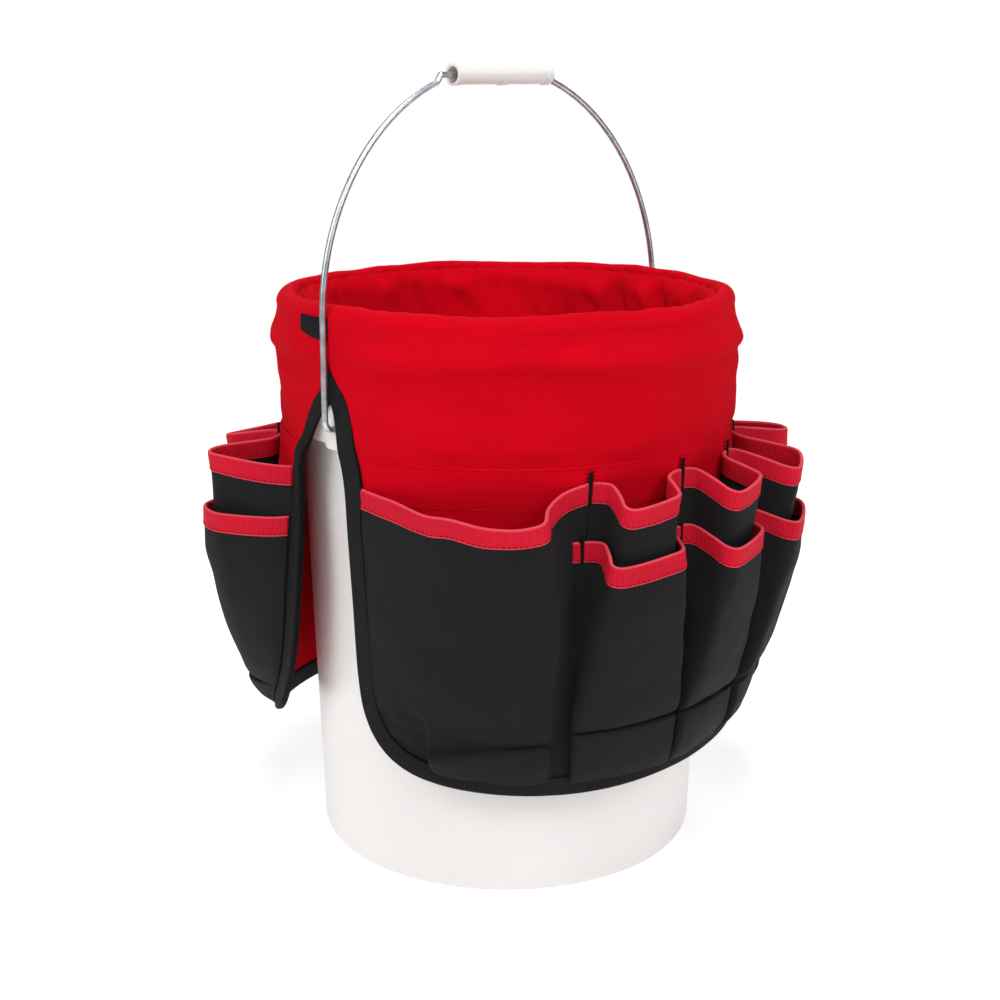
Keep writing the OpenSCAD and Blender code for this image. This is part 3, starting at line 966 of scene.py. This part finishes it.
# ---- Bucket ----
def rounded(profile, radii, steps=5):
    """A profile of (radius, height) points with its corners rounded."""
    out = [profile[0]]
    for i in range(1, len(profile) - 1):
        p, r = np.array(profile[i]), radii[i]
        before, after = np.array(profile[i - 1]) - p, np.array(profile[i + 1]) - p
        cut = [min(r, 0.45 * np.linalg.norm(w)) for w in (before, after)]
        start = p + before / np.linalg.norm(before) * cut[0]
        stop = p + after / np.linalg.norm(after) * cut[1]
        for t in np.linspace(0, 1, steps):
            out.append(tuple(start * (1 - t) ** 2 + 2 * p * t * (1 - t) + stop * t * t))
    return out + [profile[-1]]


def lathe(name, profile, material, segments=256):
    """A solid of revolution whose profile starts and ends on the axis."""
    turns = np.linspace(0, 2 * np.pi, segments, endpoint=False)
    points = [(r * math.cos(t), r * math.sin(t), z) for r, z in profile[1:-1] for t in turns]
    rings = len(profile) - 2
    # a fan from a point on the axis closes each end of the tube
    faces = tube_faces(rings, segments)[:-2]
    first, last = len(points), len(points) + 1
    points += [(0, 0, profile[0][1]), (0, 0, profile[-1][1])]
    top = (rings - 1) * segments
    for k in range(segments):
        k2 = (k + 1) % segments
        faces += [[first, k2, k], [last, top + k, top + k2]]
    return make_object(name, points, faces, material)


def build_bucket():
    """The moulded shell with its skirt, stacking ring and rolled rim, and the two ears."""
    foot, top, wall = 130.5, 141.5, 2.6
    skirt_z, skirt_r, ring_z, ring_r, rim_r = 292, 148.5, 346, 149.8, 150.2
    profile = [
        (0, 1.2), (foot - 9, 1.2), (foot - 10, 0), (foot - 2, 0), (foot, 3), (140, skirt_z + 24),
        (146, skirt_z + 24), (146, skirt_z), (skirt_r, skirt_z), (skirt_r, skirt_z + 27),
        (140.3, skirt_z + 29), (141, ring_z - 2), (ring_r, ring_z - 1.5), (ring_r, ring_z + 1.5),
        (141, ring_z + 2), (top, RIM_Z - 6), (146.5, RIM_Z - 6), (146.5, RIM_Z - 16),
        (rim_r, RIM_Z - 16), (rim_r, RIM_Z), (top - wall, RIM_Z), (foot - wall, 3), (0, 3),
    ]
    radii = [0, 1, 1, 1.5, 3, 2, 1, 0.5, 0.7, 3, 2, 1, 0.5, 0.5, 1, 1, 0.5, 0.5, 0.7, 1.6, 1.2,
             5, 0]
    shell = lathe("bucket", rounded(profile, radii), bucket_white)
    keep(shell, "bucket_plastic", "bucket_shell")
    build_ear("far", 0)
    build_ear("near", 180)


def build_ear(side, turn):
    """The boss round a pivot hole: a rounded block with a blind hole."""
    half_w, low, high, radius = 11.0, PIVOT_Z - 14, PIVOT_Z + 18, 3.0
    face_x, back_x, hole_r, hole_depth = 150.0, 138.5, 2.5, 9.0
    middle = np.array([0, (high + low) / 2])
    half = np.array([half_w, (high - low) / 2])
    turns = np.linspace(0, 2 * np.pi, 48, endpoint=False)
    circle = np.stack([np.cos(turns), np.sin(turns)], axis=-1)
    # out from the middle to the block's straight sides, then in again at its corners
    outline = circle * (1 / np.abs(circle / half).max(axis=1, keepdims=True))
    over = np.maximum(np.abs(outline) - (half - radius), 0)
    size = np.linalg.norm(over, axis=1, keepdims=True)
    corner_spot = np.copysign(half - radius + over * radius / np.maximum(size, radius), outline)
    outline = np.where(size > radius, corner_spot, outline)
    hole = circle * hole_r + [0, PIVOT_Z]
    loops = [
        (outline + middle, back_x),
        (outline + middle, face_x - 1.2),
        (outline * [0.97, 0.98] + middle, face_x - 0.35),
        (outline * [0.9, 0.93] + middle, face_x),
        (circle * (hole_r + 0.7) + [0, PIVOT_Z], face_x),
        (hole, face_x - 0.5),
        (hole, face_x - hole_depth),
    ]
    points = np.concatenate([np.insert(flat, 0, x, axis=1) for flat, x in loops])
    block = make_object(f"bucket_{side}_ear", turned(points, turn),
                        tube_faces(len(loops), len(turns)), bucket_white)
    keep(block, "bucket_plastic")


def turned(points, turn):
    """Points turned about the bucket's axis by 0 or 180 degrees."""
    return points * ([-1, -1, 1] if turn == 180 else [1, 1, 1])


# ---- Assembly ----
def keep(piece, slot, *nodes):
    """Hides the CAD nodes that a finished piece stands for and attaches it to the root body, so
    every piece made here is fixed. The slot is not used.
    """
    if nodes:
        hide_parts(*nodes)
    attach(piece, "root")
    return piece


def build_pockets(side, tier, grids):
    """The pockets of one tier with the tape along their mouths; returns the tape's strip."""
    seed = {"front": 100, "back": 300}[side] + {"tall": 4, "low": 3}[tier]
    strips = []
    for i, grid in grids.items():
        name = f"{side}_{tier}_pocket_{i}" if i else f"{side}_wide_pocket"
        grid = crumple(turned(grid, SIDES[side]), seed + 7 * i)
        pocket = slab(f"{name}_sheet", grid, CLOTH_T, black_cloth)
        keep(pocket, "black_fabric", name)
        strip = at_depths(grid, TAPE_DEPTHS)
        strips.append(strip[:, 1:] if strips else strip)
    strip = np.concatenate(strips, axis=1)
    keep(tape(f"{side}_{tier}_tape", strip, red_tape), "red_binding", f"{side}_{tier}_binding")
    return strip


def build_apron(side):
    """One apron: its red panel and black facing, its pockets, tapes, stitches and tacks."""
    turn = SIDES[side]
    panel = slab(f"{side}_panel_sheet", turned(apron_sheet(SEAM_Z + 4), turn), CLOTH_T, red_cloth)
    keep(panel, "red_fabric", f"{side}_panel")
    facing = slab(f"{side}_facing_sheet", turned(apron_sheet(FACING_Z, 1.35), turn),
                  THIN_CLOTH_T, black_cloth)
    keep(facing, "black_fabric", f"{side}_base_panel")

    tall = {0: loft(crisp(WIDE_STATIONS, WIDE_CORNER), WIDE_PLACES)}
    tall.update({i: narrow_pocket(i, TALL_Z, TALL_REACH[i], False) for i in range(1, 5)})
    low = {i: narrow_pocket(i, LOW_Z, LOW_REACH[i], True) for i in range(1, 5)}
    mouths = [build_pockets(side, tier, grids)
              for tier, grids in (("tall", tall), ("low", low))]
    edge, thickness = binding_strip()
    edge = turned(edge, turn)
    keep(tape(f"{side}_edge_tape", edge, black_tape, thickness), "black_webbing",
         f"{side}_edge_binding")
    build_stitches(side, mouths, edge, thickness)
    build_tacks(side)


def build_tacks(side):
    """Bar tacks: a bundle of tight cross threads over each pocket's end."""
    half_width = 2.0
    across = np.linspace(-half_width, half_width, len(BAR_SHAPE))
    bars = []
    for i in range(1, 5):
        for top, length, lift in ((TALL_Z + 7, 21.0, 3.2), (LOW_Z + 1.5, 15.0, 4.4)):
            low_first = i == 1 and top < TALL_Z
            for k in range(int(length / BAR_PITCH)):
                z = top - BAR_PITCH * k
                angle = FIRST_LOW_TACK if low_first else float(tack_angle(i, z))
                radius = float(apron_radius(angle, z)) + lift
                slant = 0.3 * (-1) ** k
                line = polar(angle + np.degrees(across / radius),
                             radius - 1.1 * (np.abs(across) / half_width) ** 2, z + slant * across)
                bars.append(thread_bar(turned(line, SIDES[side])))
    piece = make_object(f"{side}_tack_threads", *merged(bars), black_thread)
    keep(piece, "black_thread", f"{side}_bar_tacks")


def thread_bar(line):
    """Points and faces of one tight thread along a line."""
    way = line[-1] - line[0]
    way /= np.linalg.norm(way)
    side = np.cross(way, [0, 0, 1])
    side /= np.linalg.norm(side)
    return bead(line, [BAR_R * size for size in BAR_SHAPE], side, np.cross(side, way), 8)


def strip_line(strip, depth):
    """The line at one depth below a tape's edge, on its outer face, with its normals."""
    row = np.argmin(np.abs(TAPE_DEPTHS - depth))
    return strip[row], normals_of(strip)[row]


def build_stitches(side, strips, edge_strip, edge_depth):
    """Rows of stitches: along the tapes, the bindings and the seams of one apron."""
    turn = SIDES[side]
    red_lines, black_lines = [], []
    for strip in strips:
        points, normals = strip_line(strip, STITCH_DEPTH)
        red_lines.append((points + normals * TAPE_T / 2, normals))
    points, normals = strip_line(edge_strip, STITCH_DEPTH)
    black_lines.append((points + normals * edge_depth[:, None] / 2, normals))
    for z in (SEAM_Z + 2.5, PANEL_STITCH_Z):
        angles = np.linspace(-168, -14, 400)
        radius = np.maximum(hanging_radius(angles, z), apron_radius(angles, z)) + CLOTH_T / 2
        line = polar(angles, radius, z)
        red_lines.append((turned(line, turn), turned(polar(angles, 1.0, 0.0), turn)))
    for offset in (1.2, 2.4):
        z = np.linspace(226, 92, 140)
        angle = np.full_like(z, FIRST_LOW_EDGE + offset * 0.38)
        line = polar(angle, apron_radius(angle, z) + 3.9, z)
        black_lines.append((turned(line, turn), turned(polar(angle, 1.0, 0.0), turn)))
    keep(stitches(f"{side}_red_stitches", red_lines, red_thread), "red_fabric")
    keep(stitches(f"{side}_black_stitches", black_lines, black_thread), "black_thread")


def build_sleeve():
    """The sleeve over the rim, with both aprons' slits, and the liner inside the bucket."""
    halves = [sleeve_half(slit_line(narrow_edge), slit_line(loose_edge), turn) for turn in (0, 180)]
    sleeve = keep(joined_sheet("rim_sleeve_sheet", halves, red_cloth), "red_fabric", "rim_sleeve")
    liner = keep(joined_sheet("rim_liner_sheet", [hang_liner()], red_cloth, THIN_CLOTH_T),
                 "red_fabric", "rim_liner")


def build_tabs():
    """The strap tabs under the bail's legs: short flat pieces of webbing."""
    for side, middle in (("near", 180), ("far", 0)):
        angles = np.linspace(middle - 11.3, middle - 0.3, 16)
        depths = np.linspace(0, 13.5, 8)
        close = hump(angles, middle + 0.5, 4)
        grid = np.array([polar(angles, 153.25 - 0.75 * close, CREST_Z - 6.5 - d) for d in depths])
        shape = np.array([0.5, 0.9, 1, 1, 1, 1, 0.9, 0.5]) * 1.5
        piece = slab(f"{side}_strap", grid, shape, black_tape, across=depths / 13.5)
        keep(piece, "black_webbing", f"{side}_strap_tab")


def dress_cad():
    """Better materials on the CAD pieces whose shape is kept."""
    for node, material, slot in (("bail_wire", zinc, "bail_wire"),
                                 ("bail_grip", grip_white, "grip_plastic")):
        piece = frame["nodes"][node]
        piece.data.materials.clear()
        piece.data.materials.append(material)


def build_stage():
    """A plain pale floor under soft studio light, and the camera."""
    bpy.ops.mesh.primitive_circle_add(vertices=128, radius=1.8, fill_type="NGON")
    floor = bpy.context.object
    floor.name = "floor"
    paint = Shader("floor_paint", Roughness=0.9, Emission_Strength=0.4, Emission_Color=WHITE)
    shade = paint.noise(paint.place(), 0.8, 2.0)
    paint.set("Base Color", paint.mix(shade, tint(WHITE, 0.90), tint(WHITE, 0.93)))
    floor.data.materials.append(paint.material)

    # A white backdrop all round, seen but lighting nothing
    bpy.ops.mesh.primitive_uv_sphere_add(segments=64, ring_count=32, radius=14)
    backdrop = bpy.context.object
    backdrop.name = "backdrop"
    glow = Shader("backdrop_paint", Roughness=1.0, Emission_Strength=1.0, Emission_Color=WHITE,
                  Base_Color=tint(WHITE, 0))
    backdrop.data.materials.append(glow.material)
    for kind in ("diffuse", "glossy", "transmission", "shadow", "volume_scatter"):
        setattr(backdrop, f"visible_{kind}", False)

    world = bpy.data.worlds.new("studio")
    world.use_nodes = True
    sky = world.node_tree.nodes["Background"].inputs
    sky["Color"].default_value = WHITE
    sky["Strength"].default_value = 0.2
    scene = bpy.context.scene
    scene.world = world
    scene.view_settings.view_transform = "Standard"

    target = Vector((0, 0, 0.25))
    lamps = [
        ("left", (-1.9, 0.2, 1.4), 1.2, 17),
        ("right", (0.3, -1.9, 1.4), 1.2, 16),
        ("front", (-1.2, -1.2, 1.9), 0.8, 7),
        ("top", (-0.4, -0.4, 2.4), 0.9, 27),
        ("rear", (1.2, 1.5, 1.7), 1.4, 14),
    ]
    for name, place, size, power in lamps:
        light = bpy.data.lights.new(name, "AREA")
        light.size = size
        light.energy = power
        lamp = bpy.data.objects.new(name, light)
        lamp.location = place
        lamp.rotation_euler = (target - Vector(place)).to_track_quat("-Z", "Y").to_euler()
        scene.collection.objects.link(lamp)

    camera = bpy.data.cameras.new("camera")
    camera.lens = 58.08
    camera.shift_x = -0.0067
    camera.clip_start = 0.05
    holder = bpy.data.objects.new("camera", camera)
    holder.location = (-0.7653, -0.7653, 0.5156)
    holder.rotation_euler = (math.radians(90 - 14.79), 0, math.radians(-45))
    scene.collection.objects.link(holder)
    scene.camera = holder


build_stage()
build_bucket()
build_sleeve()
for apron in SIDES:
    build_apron(apron)
build_tabs()
dress_cad()
